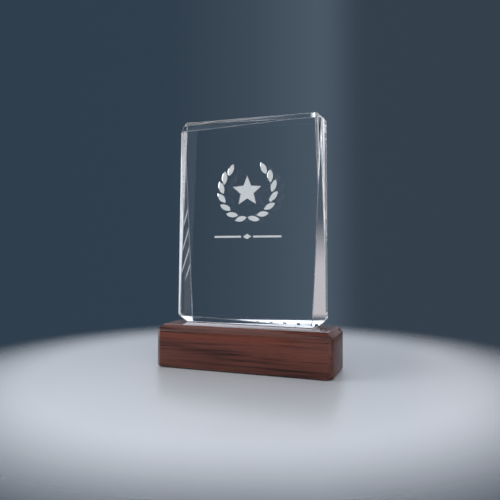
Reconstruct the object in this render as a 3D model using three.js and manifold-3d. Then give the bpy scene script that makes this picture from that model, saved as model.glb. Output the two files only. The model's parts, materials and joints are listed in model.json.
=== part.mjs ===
// Crystal award: a bevelled crystal block bonded upright on a chamfered hardwood base.
// Sizes are in millimetres. X runs along the base, Y from the front to the back, Z up.
// The origin is at the middle of the footprint, on the surface that the felt rests on.

import * as THREE from 'three';
import { mergeVertices } from 'three/addons/utils/BufferGeometryUtils.js';
import Module from 'manifold-3d';

const wasm = await Module();
wasm.setup();

// wooden base
const baseWidth = 180;
const baseDepth = 60;
const baseHeight = 42;
const baseTopChamfer = 6;
const baseCornerChamfer = 5;

// felt under the base
const feltThickness = 1;
const feltInset = 2.5;

// crystal block
const crystalWidth = 155;
const crystalHeight = 207;
const crystalThickness = 20;
const crystalCornerCut = 8;
const crystalSetback = 4;

// ground bevels round each face of the crystal: each tapers from its wide end to its narrow end, and
// the one behind it tapers the other way
const sideBevel = { wide: 11.5, narrow: 2.2 };
const endBevel = { wide: 6.5, narrow: 1.5 };
const bevelSlope = 0.75;

// clear adhesive beads that hold the crystal on the wood, each squeezed out a little behind its foot
const beadCount = 10;
const beadPitch = 14.2;
const beadWidth = 3;
const beadThickness = 0.4;
const beadFrontMargin = 2;
const beadTail = 2.4;
const beadTailGap = 0.3;

// engraved emblem: a star in two rows of leaves, over a rule with a lozenge at its middle
const recessDepth = 0.8;
const fillThickness = 0.5;
const engravingClearance = 0.3;
const emblemHeight = 133;
const starPoints = 5;
const starRadius = 15.5;
const starWaist = 0.45;
const leafCount = 7;
const leafLength = 12.5;
const leafWidth = 5.2;
const leafLean = THREE.MathUtils.degToRad(28);
const leafTuck = 2.07;
const wreathLowest = THREE.MathUtils.degToRad(14);
const wreathHighest = THREE.MathUtils.degToRad(142);
const ruleBelowWreath = 17;
const ruleLength = 29;
const ruleWidth = 2;
const ruleGap = 2.4;
const lozengeLength = 8;
const lozengeWidth = 5;

// the leaves set the wreath's size: each tucks in a little beside the tip of the one before it
const leafPitch = leafLength - leafTuck;
const wreathRadius = leafPitch * (leafCount - 1) / (wreathHighest - wreathLowest);
const ruleDrop = wreathRadius + ruleBelowWreath;

const arcSteps = 10;

const woodMaterial = { color: 0x55352f, roughness: 0.28, metalness: 0 };
const feltMaterial = { color: 0x1c1d20, roughness: 0.95, metalness: 0 };
const crystalMaterial = { color: 0xe9f1f4, roughness: 0.03, metalness: 0, transparent: true, opacity: 0.45 };
const adhesiveMaterial = { color: 0xd9dcd8, roughness: 0.12, metalness: 0, transparent: true, opacity: 0.7 };
const enamelMaterial = { color: 0xd4d6d6, roughness: 0.55, metalness: 0 };

// A closed geometry as a solid that can be cut and joined
function toSolid(geometry) {
  const bare = geometry.clone();
  bare.deleteAttribute('normal');
  bare.deleteAttribute('uv');
  const merged = mergeVertices(bare);
  return new wasm.Manifold(new wasm.Mesh({
    numProp: 3,
    vertProperties: new Float32Array(merged.attributes.position.array),
    triVerts: new Uint32Array(merged.index.array),
  }));
}

function toGeometry(solid) {
  const mesh = solid.getMesh();
  const geometry = new THREE.BufferGeometry();
  geometry.setAttribute('position', new THREE.BufferAttribute(mesh.vertProperties, 3));
  geometry.setIndex(new THREE.BufferAttribute(mesh.triVerts, 1));
  geometry.computeVertexNormals();
  return geometry;
}

function makeMesh(name, geometry, finish) {
  const material = new THREE.MeshStandardMaterial({ ...finish, flatShading: true });
  const mesh = new THREE.Mesh(geometry, material);
  mesh.name = name;
  return mesh;
}

// A rectangle with its four corners cut off at 45 degrees
function cutCornerShape(width, height, cut, bottom = -height / 2) {
  const half = width / 2;
  const top = bottom + height;
  const shape = new THREE.Shape();
  shape.moveTo(-half + cut, bottom);
  shape.lineTo(half - cut, bottom);
  shape.lineTo(half, bottom + cut);
  shape.lineTo(half, top - cut);
  shape.lineTo(half - cut, top);
  shape.lineTo(-half + cut, top);
  shape.lineTo(-half, top - cut);
  shape.lineTo(-half, bottom + cut);
  shape.closePath();
  return shape;
}

// A horizontal plate that fills the shape from z = 0 up
function flatPlate(shape, thickness) {
  return new THREE.ExtrudeGeometry(shape, { depth: thickness, bevelEnabled: false, curveSegments: arcSteps });
}

// An upright plate that fills the shape, drawn in X and Z, from y = front to the back
function uprightPlate(shape, front, thickness) {
  const plate = flatPlate(shape, thickness);
  plate.rotateX(Math.PI / 2);
  plate.translate(0, front + thickness, 0);
  return plate;
}

// Takes off everything beyond the plane through three points, on the side away from keep
function cutBeyond(solid, first, second, third, keep) {
  const normal = new THREE.Plane().setFromCoplanarPoints(first, second, third).normal;
  if (normal.dot(keep.clone().sub(first)) > 0) {
    normal.negate();
  }
  const size = 3 * Math.max(crystalWidth, crystalHeight);
  const cutter = new THREE.BoxGeometry(size, size, size);
  cutter.translate(0, 0, size / 2);
  const turn = new THREE.Quaternion().setFromUnitVectors(new THREE.Vector3(0, 0, 1), normal);
  cutter.applyQuaternion(turn);
  cutter.translate(first.x, first.y, first.z);
  return solid.subtract(toSolid(cutter));
}

function makeBaseGeometry() {
  const block = toSolid(flatPlate(cutCornerShape(baseWidth, baseDepth, baseCornerChamfer), baseHeight));
  const alongX = new THREE.Shape();
  const alongY = new THREE.Shape();
  for (const [shape, width] of [[alongX, baseDepth], [alongY, baseWidth]]) {
    shape.moveTo(-width / 2, 0);
    shape.lineTo(width / 2, 0);
    shape.lineTo(width / 2, baseHeight - baseTopChamfer);
    shape.lineTo(width / 2 - baseTopChamfer, baseHeight);
    shape.lineTo(-width / 2 + baseTopChamfer, baseHeight);
    shape.lineTo(-width / 2, baseHeight - baseTopChamfer);
    shape.closePath();
  }
  const endToEnd = uprightPlate(alongX, -baseWidth / 2, baseWidth);
  endToEnd.rotateZ(Math.PI / 2);
  const frontToBack = uprightPlate(alongY, -baseDepth / 2, baseDepth);
  return toGeometry(block.intersect(toSolid(endToEnd)).intersect(toSolid(frontToBack)));
}

// Grinds one bevel. The corners are the ends of an edge, and the widths are measured along the face
// from each of them, in the direction that inward gives.
function grindBevel(solid, corners, widths, inward, middle) {
  const [first, second] = corners.map((corner, i) => corner.clone().addScaledVector(inward, widths[i]));
  const depth = new THREE.Vector3(0, -Math.sign(corners[0].y) * widths[0] * bevelSlope, 0);
  const outer = corners[0].clone().add(depth);
  return cutBeyond(solid, first, second, outer, middle);
}

// The block stands on z = 0 with its thickness centred on y = 0
function makeCrystalSolid() {
  const outline = cutCornerShape(crystalWidth, crystalHeight, crystalCornerCut, 0);
  let solid = toSolid(uprightPlate(outline, -crystalThickness / 2, crystalThickness));
  const middle = new THREE.Vector3(0, 0, crystalHeight / 2);
  for (const face of [-1, 1]) {
    const corner = (side, z) => new THREE.Vector3(side * crystalWidth / 2, face * crystalThickness / 2, z);
    for (const side of [-1, 1]) {
      const edge = [corner(side, crystalHeight), corner(side, 0)];
      const { wide, narrow } = sideBevel;
      const widths = side === face ? [wide, narrow] : [narrow, wide];
      solid = grindBevel(solid, edge, widths, new THREE.Vector3(-side, 0, 0), middle);
    }
    for (const [z, inward] of [[crystalHeight, -1], [0, 1]]) {
      const edge = [corner(-1, z), corner(1, z)];
      const { wide, narrow } = endBevel;
      const widths = face === inward ? [narrow, wide] : [wide, narrow];
      solid = grindBevel(solid, edge, widths, new THREE.Vector3(0, 0, inward), middle);
    }
  }
  return solid;
}

// Each outline takes a clearance that is added all round, so a recess follows its fill

function starShape(grow) {
  const halfStep = Math.PI / starPoints;
  const waist = starRadius * starWaist;
  const point = new THREE.Vector2(0, starRadius);
  const inner = new THREE.Vector2(waist, 0).rotateAround(new THREE.Vector2(), Math.PI / 2 - halfStep);
  const edgeDistance = Math.abs(point.cross(inner)) / point.distanceTo(inner);
  const scale = (edgeDistance + grow) / edgeDistance;
  const corners = [];
  for (let i = 0; i < 2 * starPoints; i += 1) {
    const radius = scale * (i % 2 === 0 ? starRadius : waist);
    corners.push(new THREE.Vector2(0, radius).rotateAround(new THREE.Vector2(), i * halfStep));
  }
  return new THREE.Shape(corners);
}

// Two arcs that meet at a point at each end
function leafShape(grow) {
  const halfLength = leafLength / 2;
  const halfWidth = leafWidth / 2;
  const radius = (halfLength ** 2 + halfWidth ** 2) / (2 * halfWidth);
  const offset = radius - halfWidth;
  const reach = Math.acos(offset / (radius + grow));
  const shape = new THREE.Shape();
  shape.absarc(-offset, 0, radius + grow, -reach, reach, false);
  shape.absarc(offset, 0, radius + grow, Math.PI - reach, Math.PI + reach, false);
  return shape;
}

function ruleShape(grow) {
  const halfLength = ruleLength / 2 + grow;
  const halfWidth = ruleWidth / 2 + grow;
  const shape = new THREE.Shape();
  shape.moveTo(-halfLength, -halfWidth);
  shape.lineTo(halfLength, -halfWidth);
  shape.lineTo(halfLength, halfWidth);
  shape.lineTo(-halfLength, halfWidth);
  shape.closePath();
  return shape;
}

function lozengeShape(grow) {
  const halfLength = lozengeLength / 2;
  const halfWidth = lozengeWidth / 2;
  const edgeDistance = halfLength * halfWidth / Math.hypot(halfLength, halfWidth);
  const scale = (edgeDistance + grow) / edgeDistance;
  const shape = new THREE.Shape();
  shape.moveTo(halfLength * scale, 0);
  shape.lineTo(0, halfWidth * scale);
  shape.lineTo(-halfLength * scale, 0);
  shape.lineTo(0, -halfWidth * scale);
  shape.closePath();
  return shape;
}

// The enamel that fills one figure, resting on the floor of its recess
function makeFill(name, shapeOf, x, z, turn = 0) {
  const floorY = -crystalThickness / 2 + recessDepth;
  const fill = makeMesh(name, uprightPlate(shapeOf(0), -fillThickness, fillThickness), enamelMaterial);
  fill.position.set(x, floorY, z);
  fill.rotation.y = turn;
  fill.updateMatrix();
  fill.userData.shapeOf = shapeOf;
  return fill;
}

function makeFills() {
  const fills = [makeFill('engraved_star', starShape, 0, emblemHeight)];
  const step = (wreathHighest - wreathLowest) / (leafCount - 1);
  for (const [sideName, side] of [['left', -1], ['right', 1]]) {
    for (let i = 0; i < leafCount; i += 1) {
      const around = wreathLowest + i * step;
      const x = side * wreathRadius * Math.sin(around);
      const z = emblemHeight - wreathRadius * Math.cos(around);
      const lean = Math.PI / 2 - around + leafLean;
      fills.push(makeFill(`engraved_leaf_${sideName}_${i + 1}`, leafShape, x, z, side * lean));
    }
    const ruleX = side * (lozengeLength / 2 + ruleGap + ruleLength / 2);
    fills.push(makeFill(`engraved_rule_${sideName}`, ruleShape, ruleX, emblemHeight - ruleDrop));
  }
  fills.push(makeFill('engraved_lozenge', lozengeShape, 0, emblemHeight - ruleDrop));
  return fills;
}

// Cuts the recess of one fill into the front face
function cutRecess(solid, fill) {
  const overcut = 1;
  const depth = recessDepth + overcut;
  const cutter = uprightPlate(fill.userData.shapeOf(engravingClearance), -depth, depth);
  cutter.applyMatrix4(fill.matrix);
  return solid.subtract(toSolid(cutter));
}

// Where the foot's front (face -1) or back (face 1) edge lies at x, between the bevels
function footEdge(face, x) {
  const along = x / crystalWidth + 0.5;
  const fromWide = face === 1 ? 1 - along : along;
  const width = THREE.MathUtils.lerp(endBevel.wide, endBevel.narrow, fromWide);
  return face * (crystalThickness / 2 - width * bevelSlope);
}

// A flat bead from front to back under the crystal, with a tail that rises under the rear bevel
function makeBead(name, x) {
  const front = footEdge(-1, x) + beadFrontMargin;
  const back = footEdge(1, x);
  const shape = new THREE.Shape();
  shape.moveTo(front, -beadThickness);
  shape.lineTo(back + beadTail, -beadThickness);
  shape.lineTo(back + beadTail, (beadTail - beadTailGap) / bevelSlope);
  shape.lineTo(back + beadTailGap, 0);
  shape.lineTo(front, 0);
  shape.closePath();
  const plate = uprightPlate(shape, -beadWidth / 2, beadWidth);
  plate.rotateZ(Math.PI / 2);
  const bead = makeMesh(name, plate, adhesiveMaterial);
  bead.position.x = x;
  return bead;
}

const award = new THREE.Group();

const feltShape = cutCornerShape(baseWidth - 2 * feltInset, baseDepth - 2 * feltInset, baseCornerChamfer);
award.add(makeMesh('felt_pad', flatPlate(feltShape, feltThickness), feltMaterial));

const woodBase = makeMesh('wood_base', makeBaseGeometry(), woodMaterial);
woodBase.position.z = feltThickness;
award.add(woodBase);

const crystalGroup = new THREE.Group();
crystalGroup.position.set(0, crystalSetback, feltThickness + baseHeight + beadThickness);
award.add(crystalGroup);

for (let i = 0; i < beadCount; i += 1) {
  crystalGroup.add(makeBead(`bond_bead_${i + 1}`, (i - (beadCount - 1) / 2) * beadPitch));
}

let crystalSolid = makeCrystalSolid();
for (const fill of makeFills()) {
  crystalSolid = cutRecess(crystalSolid, fill);
  crystalGroup.add(fill);
}
crystalGroup.add(makeMesh('crystal_block', toGeometry(crystalSolid), crystalMaterial));

export default award;
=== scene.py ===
import json
import math

import bpy
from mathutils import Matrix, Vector

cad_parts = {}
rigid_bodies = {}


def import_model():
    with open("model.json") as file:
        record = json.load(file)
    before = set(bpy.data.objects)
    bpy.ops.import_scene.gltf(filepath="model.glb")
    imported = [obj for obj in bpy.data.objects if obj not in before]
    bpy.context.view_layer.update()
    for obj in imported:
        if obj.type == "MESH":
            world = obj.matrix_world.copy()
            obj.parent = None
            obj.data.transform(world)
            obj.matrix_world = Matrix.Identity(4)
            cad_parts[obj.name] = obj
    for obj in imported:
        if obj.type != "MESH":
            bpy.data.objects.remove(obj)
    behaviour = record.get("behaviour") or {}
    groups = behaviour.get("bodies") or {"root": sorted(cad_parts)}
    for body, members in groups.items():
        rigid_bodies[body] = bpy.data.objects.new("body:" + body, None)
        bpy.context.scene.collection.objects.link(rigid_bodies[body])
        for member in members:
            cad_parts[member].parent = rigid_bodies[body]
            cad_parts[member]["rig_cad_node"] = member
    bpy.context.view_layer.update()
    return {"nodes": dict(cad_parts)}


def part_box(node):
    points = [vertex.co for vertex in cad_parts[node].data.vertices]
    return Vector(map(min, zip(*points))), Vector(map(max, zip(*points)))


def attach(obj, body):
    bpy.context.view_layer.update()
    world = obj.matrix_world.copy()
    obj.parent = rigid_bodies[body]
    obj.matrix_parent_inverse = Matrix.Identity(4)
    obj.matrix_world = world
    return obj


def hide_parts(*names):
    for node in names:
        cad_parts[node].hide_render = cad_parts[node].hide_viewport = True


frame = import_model()
print("frame loaded")

mm = 0.001
slightTurn = math.radians(5)  # an edge whose faces turn by less than this isn't a corner
squareTurn = 1.0  # radians: an edge near a right angle turns by more than this
looksAlong = 0.9  # a face looks along an axis when its normal has more than this of it
crystalLow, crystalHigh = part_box("crystal_block")
woodLow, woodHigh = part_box("wood_base")
feltLow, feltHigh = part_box("felt_pad")


class Wire:
    # one output socket that can be added, multiplied and so on

    def __init__(self, finish, socket):
        self.finish = finish
        self.socket = socket

    def __add__(self, other):
        return self.finish.maths("ADD", self, other)

    def __radd__(self, other):
        return self.finish.maths("ADD", other, self)

    def __sub__(self, other):
        return self.finish.maths("SUBTRACT", self, other)

    def __rsub__(self, other):
        return self.finish.maths("SUBTRACT", other, self)

    def __mul__(self, other):
        return self.finish.maths("MULTIPLY", self, other)

    def __rmul__(self, other):
        return self.finish.maths("MULTIPLY", other, self)

    def __truediv__(self, other):
        return self.finish.maths("DIVIDE", self, other)

    def __rtruediv__(self, other):
        return self.finish.maths("DIVIDE", other, self)


class Finish:
    # a material, or the world, with its nodes

    def __init__(self, name, owner=None):
        self.owner = owner or bpy.data.materials.new(name)
        self.owner.use_nodes = True
        self.tree = self.owner.node_tree
        self.surface = self.tree.nodes.get("Principled BSDF") or self.tree.nodes.get("Background")

    def node(self, kind, settings=None, inputs=None, output=0):
        made = self.tree.nodes.new("ShaderNode" + kind)
        for key, value in (settings or {}).items():
            if key == "stops":
                self.fillRamp(made.color_ramp, value)
            else:
                setattr(made, key, value)
        for key, value in (inputs or {}).items():
            self.plug(made.inputs[key], value)
        return Wire(self, made.outputs[output])

    def fillRamp(self, ramp, stops):
        while len(ramp.elements) > 1:
            ramp.elements.remove(ramp.elements[-1])
        for i, (place, colour) in enumerate(stops):
            element = ramp.elements[0] if i == 0 else ramp.elements.new(place)
            element.position = place
            element.color = (*colour, 1)

    def plug(self, socket, value):
        if isinstance(value, Wire):
            self.tree.links.new(value.socket, socket)
        elif socket.type == "RGBA" and len(value) == 3:
            socket.default_value = (*value, 1)
        else:
            socket.default_value = value

    def surfaceIs(self, inputs):
        for key, value in inputs.items():
            self.plug(self.surface.inputs[key], value)

    def maths(self, operation, *values):
        return self.node("Math", {"operation": operation}, dict(enumerate(values)))

    def place(self, scale=(1, 1, 1), shift=(0, 0, 0)):
        # the object's own coordinates in metres, scaled and shifted
        spot = self.node("TexCoord", output="Object")
        return self.node("Mapping", None, {"Vector": spot, "Scale": scale, "Location": shift})

    def noise(self, spot, scale, detail=3, rough=0.5, distortion=0):
        return self.node("TexNoise", None, {"Vector": spot, "Scale": scale, "Detail": detail,
                                            "Roughness": rough, "Distortion": distortion})

    def ramp(self, value, stops):
        return self.node("ValToRGB", {"stops": stops}, {"Fac": value})

    def fade(self, value, low, high, start=0, end=1):
        return self.node("MapRange", {"interpolation_type": "SMOOTHSTEP"},
                         {"Value": value, "From Min": low, "From Max": high, "To Min": start, "To Max": end})

    def blend(self, amount, first, second):
        return self.node("Mix", {"data_type": "RGBA"}, {0: amount, 6: first, 7: second}, 2)

    def bump(self, height, strength, distance):
        return self.node("Bump", None, {"Height": height, "Strength": strength, "Distance": distance})


def pickOnly(piece):
    bpy.ops.object.select_all(action="DESELECT")
    piece.select_set(True)
    bpy.context.view_layer.objects.active = piece


weld = {
    "distance": 0.002 * mm,  # corners nearer than this are one
    "flat": math.radians(0.4),  # triangles that turn by less than this are one face
}


def copyOfNode(node, name):
    # a piece of its own that starts as the part's solid, with its loose triangles joined into flat faces
    piece = frame["nodes"][node].copy()
    piece.data = piece.data.copy()
    piece.name = name
    piece.data.name = name
    del piece["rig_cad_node"]
    bpy.context.scene.collection.objects.link(piece)
    piece.data.materials.clear()
    pickOnly(piece)
    bpy.ops.object.mode_set(mode="EDIT")
    bpy.ops.mesh.select_all(action="SELECT")
    bpy.ops.mesh.remove_doubles(threshold=weld["distance"])
    bpy.ops.mesh.dissolve_limited(angle_limit=weld["flat"])
    bpy.ops.mesh.select_all(action="DESELECT")
    bpy.ops.object.mode_set(mode="OBJECT")
    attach(piece, "root")
    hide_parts(node)
    return piece


def selectEdges(piece, wanted):
    # selects the edges whose two faces and two ends the test accepts
    pickOnly(piece)
    mesh = piece.data
    faces = {}
    for face in mesh.polygons:
        for key in face.edge_keys:
            faces.setdefault(key, []).append(face)
    for face in mesh.polygons:
        face.select = False
    for vertex in mesh.vertices:
        vertex.select = False
    for edge in mesh.edges:
        ends = [mesh.vertices[i].co for i in edge.vertices]
        beside = faces[tuple(sorted(edge.vertices))]
        turn = beside[0].normal.angle(beside[1].normal) if len(beside) == 2 else 0
        edge.select = wanted(ends, turn)
    bpy.ops.object.mode_set(mode="EDIT")
    bpy.ops.mesh.select_mode(type="EDGE")


def softenEdges(piece, wanted, width, segments, material=-1):
    selectEdges(piece, wanted)
    bpy.ops.mesh.bevel(offset=width, segments=segments, affect="EDGES", clamp_overlap=True, material=material)
    bpy.ops.mesh.select_all(action="DESELECT")
    bpy.ops.object.mode_set(mode="OBJECT")


def shiftFaces(piece, wanted, by):
    # moves the faces whose normal the test accepts
    for face in piece.data.polygons:
        face.select = wanted(face.normal)
    bpy.ops.object.mode_set(mode="EDIT")
    bpy.ops.mesh.select_mode(type="FACE")
    bpy.ops.transform.translate(value=by)
    bpy.ops.mesh.select_all(action="DESELECT")
    bpy.ops.object.mode_set(mode="OBJECT")


cameraView = {
    "aside": 1.0025,  # place, in widths of the base
    "away": 2.7546,
    "height": 0.6559,
    "turn": 19.9,  # degrees to the left
    "lens": 37.76,
    "nearest": 10 * mm,
}


def makeCamera():
    wide = woodHigh.x - woodLow.x
    spot = Vector((cameraView["aside"], -cameraView["away"], cameraView["height"])) * wide
    bpy.ops.object.camera_add(location=spot, rotation=(math.radians(90), 0, math.radians(cameraView["turn"])))
    camera = bpy.context.object
    camera.data.lens = cameraView["lens"]
    camera.data.clip_start = cameraView["nearest"]
    bpy.context.scene.camera = camera


makeCamera()
print("camera set")


crystal = {
    "arris": 0.45 * mm,  # tiny ground flat along each edge
    "arrisFrost": 0.45,
    "index": 1.52,
    "tint": (0.985, 0.995, 1.0),
    "ripple": {"often": 55, "strength": 0.02, "height": 0.1 * mm},  # polishing waves, so many in a metre
    # edges this near the middle of the front belong to the engraving and stay sharp
    "engraved": {"aside": 45 * mm, "deep": 2 * mm, "up": 90 * mm},
}


def crystalFinish(name, frost):
    finish = Finish(name)
    waves = crystal["ripple"]
    ripple = finish.noise(finish.place(), waves["often"], 2)
    finish.surfaceIs({
        "Base Color": crystal["tint"],
        "Roughness": finish.fade(ripple, 0.3, 0.7, frost, frost * 1.2) if frost else 0,
        "IOR": crystal["index"],
        "Transmission Weight": 1.0,
        "Normal": finish.bump(ripple, waves["strength"], waves["height"]),
    })
    return finish.owner


def makeCrystal():
    piece = copyOfNode("crystal_block", "polished_crystal")
    middle = (crystalLow + crystalHigh) / 2
    room = crystal["engraved"]

    def isEngraved(end):
        return (abs(end.x) < room["aside"] and end.y < crystalLow.y + room["deep"]
                and abs(end.z - middle.z) < room["up"])

    def isArris(ends, turn):
        return turn > slightTurn and not all(isEngraved(end) for end in ends)

    piece.data.materials.append(crystalFinish("polishedCrystal", 0))
    piece.data.materials.append(crystalFinish("groundArris", crystal["arrisFrost"]))
    softenEdges(piece, isArris, crystal["arris"], 1, 1)


makeCrystal()
print("crystal made")


enamel = {
    "white": (0.6, 0.63, 0.64),
    "grey": (0.5, 0.53, 0.54),
    "rim": 0.08 * mm,
    "flush": 0.01 * mm,  # corners this near the front are on it
    "bite": 0.03 * mm,  # how far the enamel has etched into the floor of its recess
    "clouds": 160,  # so many in a metre
    "grain": 2600,
}


def enamelFinish():
    finish = Finish("whiteEnamel")
    spot = finish.place()
    cloud = finish.noise(spot, enamel["clouds"], 4, 0.6)
    grain = finish.noise(spot, enamel["grain"], 2)
    finish.surfaceIs({
        "Base Color": finish.blend(cloud, enamel["grey"], enamel["white"]),
        "Roughness": finish.fade(cloud, 0.3, 0.7, 0.42, 0.6),
        "Normal": finish.bump(grain, 0.25, 0.05 * mm),
    })
    return finish.owner


def makeEmblem():
    finish = enamelFinish()
    for node in sorted(frame["nodes"]):
        if not node.startswith("engraved_"):
            continue
        piece = copyOfNode(node, node.replace("engraved", "enamel"))
        front = min(vertex.co.y for vertex in piece.data.vertices) + enamel["flush"]
        softenEdges(piece, lambda ends, turn: turn > squareTurn and all(end.y < front for end in ends),
                    enamel["rim"], 2)
        shiftFaces(piece, lambda normal: normal.y > looksAlong, (0, enamel["bite"], 0))
        piece.data.materials.append(finish)


makeEmblem()
print("emblem made")


wood = {
    "roundover": 0.9 * mm,
    "smoothBelow": math.radians(24),
    "tones": [(0.016, 0.0045, 0.0036), (0.068, 0.0195, 0.0128), (0.155, 0.045, 0.03)],  # dark, brown, light
    "stops": (0.42, 0.56, 0.74),  # where each tone is reached on the sides, and on the ends
    "endStops": (0.3, 0.52, 0.76),
    "figure": (2.6, 24, 40),  # how often the broad figure changes in a metre along X, Y and Z
    "streaks": (4.5, 130, 210),
    "fibres": (16, 900, 900),
    "pores": (60, 2100, 2100),
    "rings": (8, 34, 34),
    "mottle": (700, 420, 420),
    "shares": {"figure": 0.5, "fibres": 0.36, "lines": 0.21},  # what the tone is mixed from
    "endShares": {"rings": 0.2, "mottle": 0.55, "rest": 0.2},
    "ringCount": 9,
    "poreDepth": 0.55,
    "endPoreDepth": 0.7,
    "lacquer": {"index": 1.4, "roughness": 0.08, "weights": (0.7, 0.55)},
    "endLacquer": {"index": 1.4, "roughness": 0.2, "weights": (0.5, 0.3)},
}


def grainColour(finish, tone, stops, pores):
    # the wood's tones, with its pores in the dark one
    colour = finish.ramp(tone, list(zip(stops, wood["tones"])))
    return finish.blend(pores, colour, wood["tones"][0])


def lacquer(finish, coat, wear):
    # the coat's sockets, thinner where the wear is high
    return {
        "Coat Weight": finish.fade(wear, 0.3, 0.7, *coat["weights"]),
        "Coat Roughness": coat["roughness"],
        "Coat IOR": coat["index"],
    }


def sideGrain():
    finish = Finish("lacqueredHardwood")
    figure = finish.noise(finish.place(wood["figure"]), 1, 4, 0.55, 1.1)
    streaks = finish.noise(finish.place(wood["streaks"], shift=(3, 7, 1)), 1, 5, 0.65, 0.5)
    fibres = finish.noise(finish.place(wood["fibres"]), 1, 4, 0.7)
    pores = finish.fade(finish.noise(finish.place(wood["pores"]), 1, 2), 0.6, 0.72)
    lines = finish.fade(streaks, 0.5, 0.68)
    shares = wood["shares"]
    tone = figure * shares["figure"] + fibres * shares["fibres"] + (1 - lines) * shares["lines"]
    finish.surfaceIs({
        "Base Color": grainColour(finish, tone, wood["stops"], pores * wood["poreDepth"]),
        "Roughness": finish.fade(figure + pores * 0.5, 0.3, 0.9, 0.42, 0.58),
        "Normal": finish.bump(fibres * 0.5 - pores, 0.15, 0.05 * mm),
        "Specular IOR Level": 0.15,
        **lacquer(finish, wood["lacquer"], streaks),
    })
    return finish.owner


def endGrain():
    finish = Finish("endGrain")
    bent = finish.noise(finish.place(wood["rings"]), 1, 3, 0.5, 1.5)
    rings = finish.maths("PINGPONG", bent * wood["ringCount"], 1)
    mottle = finish.noise(finish.place(wood["mottle"]), 1, 4, 0.7)
    pores = finish.fade(finish.noise(finish.place(wood["fibres"]), 2, 2), 0.58, 0.7)
    shares = wood["endShares"]
    tone = rings * shares["rings"] + mottle * shares["mottle"] + shares["rest"]
    finish.surfaceIs({
        "Base Color": grainColour(finish, tone, wood["endStops"], pores * wood["endPoreDepth"]),
        "Roughness": finish.fade(mottle, 0.3, 0.7, 0.6, 0.75),
        "Normal": finish.bump(mottle - pores, 0.3, 0.08 * mm),
        "Specular IOR Level": 0.1,
        **lacquer(finish, wood["endLacquer"], mottle),
    })
    return finish.owner


def makeBase():
    piece = copyOfNode("wood_base", "lacquered_base")
    softenEdges(piece, lambda ends, turn: turn > slightTurn, wood["roundover"], 3)
    bpy.ops.object.shade_smooth_by_angle(angle=wood["smoothBelow"])
    piece.data.materials.append(sideGrain())
    piece.data.materials.append(endGrain())
    for face in piece.data.polygons:
        face.material_index = int(abs(face.normal.x) > looksAlong)


makeBase()
print("base made")


felt = {
    "dark": (0.006, 0.0065, 0.008),
    "light": (0.022, 0.023, 0.027),
    "fuzz": 1400,  # so many in a metre
    "clumps": 220,
    "rim": 0.2 * mm,
}


def feltFinish():
    finish = Finish("blackFelt")
    fuzz = finish.noise(finish.place(), felt["fuzz"], 5, 0.7, 1.5)
    clumps = finish.noise(finish.place(), felt["clumps"], 3)
    finish.surfaceIs({
        "Base Color": finish.blend(fuzz * clumps * 2, felt["dark"], felt["light"]),
        "Roughness": finish.fade(clumps, 0.2, 0.8, 0.88, 1.0),
        "Normal": finish.bump(fuzz, 0.7, 0.3 * mm),
        "Sheen Weight": 0.5,
        "Sheen Roughness": 0.4,
    })
    return finish.owner


def makeFelt():
    piece = copyOfNode("felt_pad", "felt_sheet")
    size = feltHigh - feltLow

    def isLevel(ends, turn):
        return turn > squareTurn and abs(ends[0].z - ends[1].z) < size.z / 2

    softenEdges(piece, isLevel, felt["rim"], 2)
    piece.data.materials.append(feltFinish())


makeFelt()
print("felt made")


bead = {
    "dark": (0.012, 0.01, 0.01),
    "tint": (0.05, 0.045, 0.042),
    "wetting": 0.05 * mm,  # how far a bead reaches into the crystal that it wets
    "tailGap": 0.3 * mm,  # room that the part leaves between a bead's tail and the rear bevel
    "rim": 0.1 * mm,
    "haze": 500,  # so many in a metre
}


def beadFinish():
    finish = Finish("darkAdhesive")
    haze = finish.noise(finish.place(), bead["haze"], 3)
    finish.surfaceIs({
        "Base Color": finish.blend(haze, bead["dark"], bead["tint"]),
        "Roughness": finish.fade(haze, 0.3, 0.7, 0.2, 0.4),
        "IOR": 1.49,
    })
    return finish.owner


def makeBeads():
    finish = beadFinish()
    reach = bead["tailGap"] + bead["wetting"]

    def isAcross(ends, turn):
        return turn > squareTurn and abs(ends[0].x - ends[1].x) > mm

    def isTail(normal):
        return normal.z > 0.5 and normal.y < -0.5

    for node in sorted(frame["nodes"]):
        if not node.startswith("bond_bead_"):
            continue
        piece = copyOfNode(node, node.replace("bond", "glue"))
        softenEdges(piece, isAcross, bead["rim"], 1)
        shiftFaces(piece, isTail, (0, -reach, 0))
        shiftFaces(piece, lambda normal: normal.z > looksAlong, (0, 0, bead["wetting"]))
        piece.data.materials.append(finish)


makeBeads()
print("beads made")


floorPaper = {
    "pale": (0.5, 0.52, 0.55),
    "size": 4,
    "gloss": 0.28,
    "clouds": 3,  # so many in a metre
    "cloudShare": 0.1,
    "fadeFrom": 0.2,  # the paper fades to see-through between these distances from the award, so its pale is a painted pool of light round the award
    "fadeTo": 0.34,
}


def makeFloor():
    bpy.ops.mesh.primitive_plane_add(size=floorPaper["size"], location=(0, 0, 0))
    floor = bpy.context.object
    floor.name = "floor"
    finish = Finish("floorPaper")
    reach = finish.node("VectorMath", {"operation": "LENGTH"}, {0: finish.place()}, "Value")
    # painted pool of light: away from the award the pale floor fades into the dark backdrop
    far = finish.fade(reach, floorPaper["fadeFrom"], floorPaper["fadeTo"])
    cloud = finish.noise(finish.place(), floorPaper["clouds"], 2)
    finish.surfaceIs({
        "Base Color": finish.blend(cloud * floorPaper["cloudShare"], floorPaper["pale"], (1, 1, 1)),
        "Roughness": floorPaper["gloss"],
        "Alpha": 1 - far,
    })
    floor.data.materials.append(finish.owner)


slateToneAndGlow = [
    # tone of the slate paper, by degrees round from the back, with a painted glow of light that is brightest
    # at -12 degrees
    (-180, (0.03, 0.046, 0.066)),
    (-29, (0.03, 0.05, 0.075)),
    (-20, (0.046, 0.067, 0.094)),
    (-12, (0.072, 0.1, 0.135)),
    (-8, (0.035, 0.052, 0.073)),
    (180, (0.03, 0.046, 0.066)),
]

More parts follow.
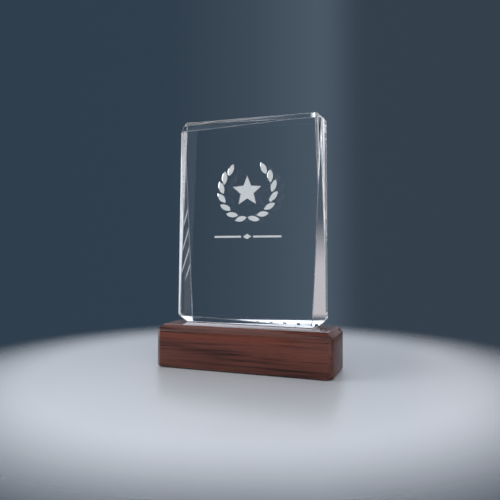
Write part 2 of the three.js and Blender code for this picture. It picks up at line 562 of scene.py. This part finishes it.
softPanels = [
    # degrees round from the back, degrees up from level, the degrees that the two sides fade over, the
    # degrees that the bottom and top fade over, and the light
    ((-62, -50), (-8, 4), (2, 2), (1, 3), (0.26, 0.3, 0.33)),
    ((-52, -31.5), (-5.9, -1.5), (2, 2), (0.8, 6.5), (0.5, 0.47, 0.5)),
    ((-1, 16), (4, 30), (2, 2), (3, 3), (0.38, 0.36, 0.39)),
    ((28, 48), (-10, 14), (5, 5), (5, 5), (0.62, 0.68, 0.74)),
    ((-45, 5), (17.5, 56), (4, 4), (1.5, 1.5), (1.5, 1.6, 1.8)),
    ((-180, 180), (56, 72), (6, 6), (6, 6), (1.0, 1.04, 1.1)),
    ((-180, -171), (-6, 16), (3, 3), (3, 3), (0.5, 0.55, 0.62)),
    ((175, 180), (-6, 16), (3, 3), (3, 3), (0.5, 0.55, 0.62)),
    ((-73, -60), (-12, 0), (3, 3), (2, 2), (1.3, 1.35, 1.45)),
    ((-12.5, -9), (-13.5, -9), (1.5, 1.5), (0.8, 0.8), (5, 5.2, 5.5)),
    ((-108, -74), (-6, 10), (4, 4), (4, 4), (0.95, 0.93, 0.95)),
    ((98, 124), (-14, 30), (5, 5), (5, 5), (1.1, 1.12, 1.2)),
    ((-170, -90), (-90, -14), (5, 5), (5, 5), (0.9, 0.95, 1.0)),
]

blind = {
    # a slatted blind at a window: its slats throw thin slanting streaks
    "panel": ((-8, -3), (-1.6, 6), (0.5, 0.5), (1, 1), (0.5, 0.54, 0.6)),
    "slant": 3.2,
    "halfStep": 1.05,  # degrees
    "width": 0.3,  # of the half step
}


def makeBackdrop():
    # slate paper with a painted glow of light, with panels that light the award and that the camera doesn't
    # see directly
    world = bpy.data.worlds.new("slateRoom")
    bpy.context.scene.world = world
    finish = Finish("slateRoom", world)
    spot = finish.node("TexCoord", output="Generated")
    axes = finish.node("SeparateXYZ", None, {0: spot}).socket.node.outputs
    x, y, z = (Wire(finish, axes[key]) for key in "XYZ")
    around = finish.maths("ARCTAN2", x, y) * math.degrees(1)
    up = finish.maths("ARCSINE", z) * math.degrees(1)

    def share(angle):
        # of the whole way round, for a wire or a number
        return angle / 360 + 0.5

    # the slate paper, with its painted glow of light
    paper = finish.ramp(share(around), [(share(angle), tone) for angle, tone in slateToneAndGlow])

    def addPanel(lit, panel, inside=1):
        # blends a panel over what is lit already, where inside is one
        roundSpan, upSpan, roundSoft, upSoft, light = panel
        for angle, (low, high), (lowSoft, highSoft) in ((around, roundSpan, roundSoft), (up, upSpan, upSoft)):
            inside = finish.fade(angle, low - lowSoft, low) * inside
            inside = finish.fade(angle, high, high + highSoft, 1, 0) * inside
        return finish.blend(inside, lit, light)

    lit = paper
    for panel in softPanels:
        lit = addPanel(lit, panel)
    slat = finish.maths("PINGPONG", up - around * blind["slant"], blind["halfStep"])
    slats = finish.fade(slat, blind["halfStep"] * (1 - blind["width"]), blind["halfStep"])
    lit = addPanel(lit, blind["panel"], slats)
    seen = finish.node("LightPath", output="Is Camera Ray")
    finish.surfaceIs({"Color": finish.blend(seen, lit, paper), "Strength": 1.0})


softboxAim = 120 * mm  # height above the floor
softboxes = [
    # degrees round from the front and up from level, distance, width and height in metres, watts
    {"around": -62, "up": 20, "far": 0.9, "size": (0.5, 0.7), "power": 5},
    {"around": 30, "up": 22, "far": 0.9, "size": (0.6, 0.5), "power": 4},
]


def makeLights():
    target = Vector((0, 0, softboxAim))
    for box in softboxes:
        around, up = math.radians(box["around"]), math.radians(box["up"])
        out = Vector((math.sin(around) * math.cos(up), -math.cos(around) * math.cos(up), math.sin(up)))
        turn = out.to_track_quat("Z", "Y").to_euler()
        bpy.ops.object.light_add(type="AREA", location=target + out * box["far"], rotation=turn)
        light = bpy.context.object
        light.data.shape = "RECTANGLE"
        light.data.size, light.data.size_y = box["size"]
        light.data.energy = box["power"]
        light.visible_camera = False


rendering = {
    "view": "Standard",
    "bounces": 32,  # enough for light that runs round inside the crystal
    "glossyBounces": 12,
}


def setRendering():
    scene = bpy.context.scene
    scene.view_settings.view_transform = rendering["view"]
    scene.cycles.max_bounces = rendering["bounces"]
    scene.cycles.transmission_bounces = rendering["bounces"]
    scene.cycles.glossy_bounces = rendering["glossyBounces"]


makeFloor()
makeBackdrop()
makeLights()
setRendering()
print("stage set")
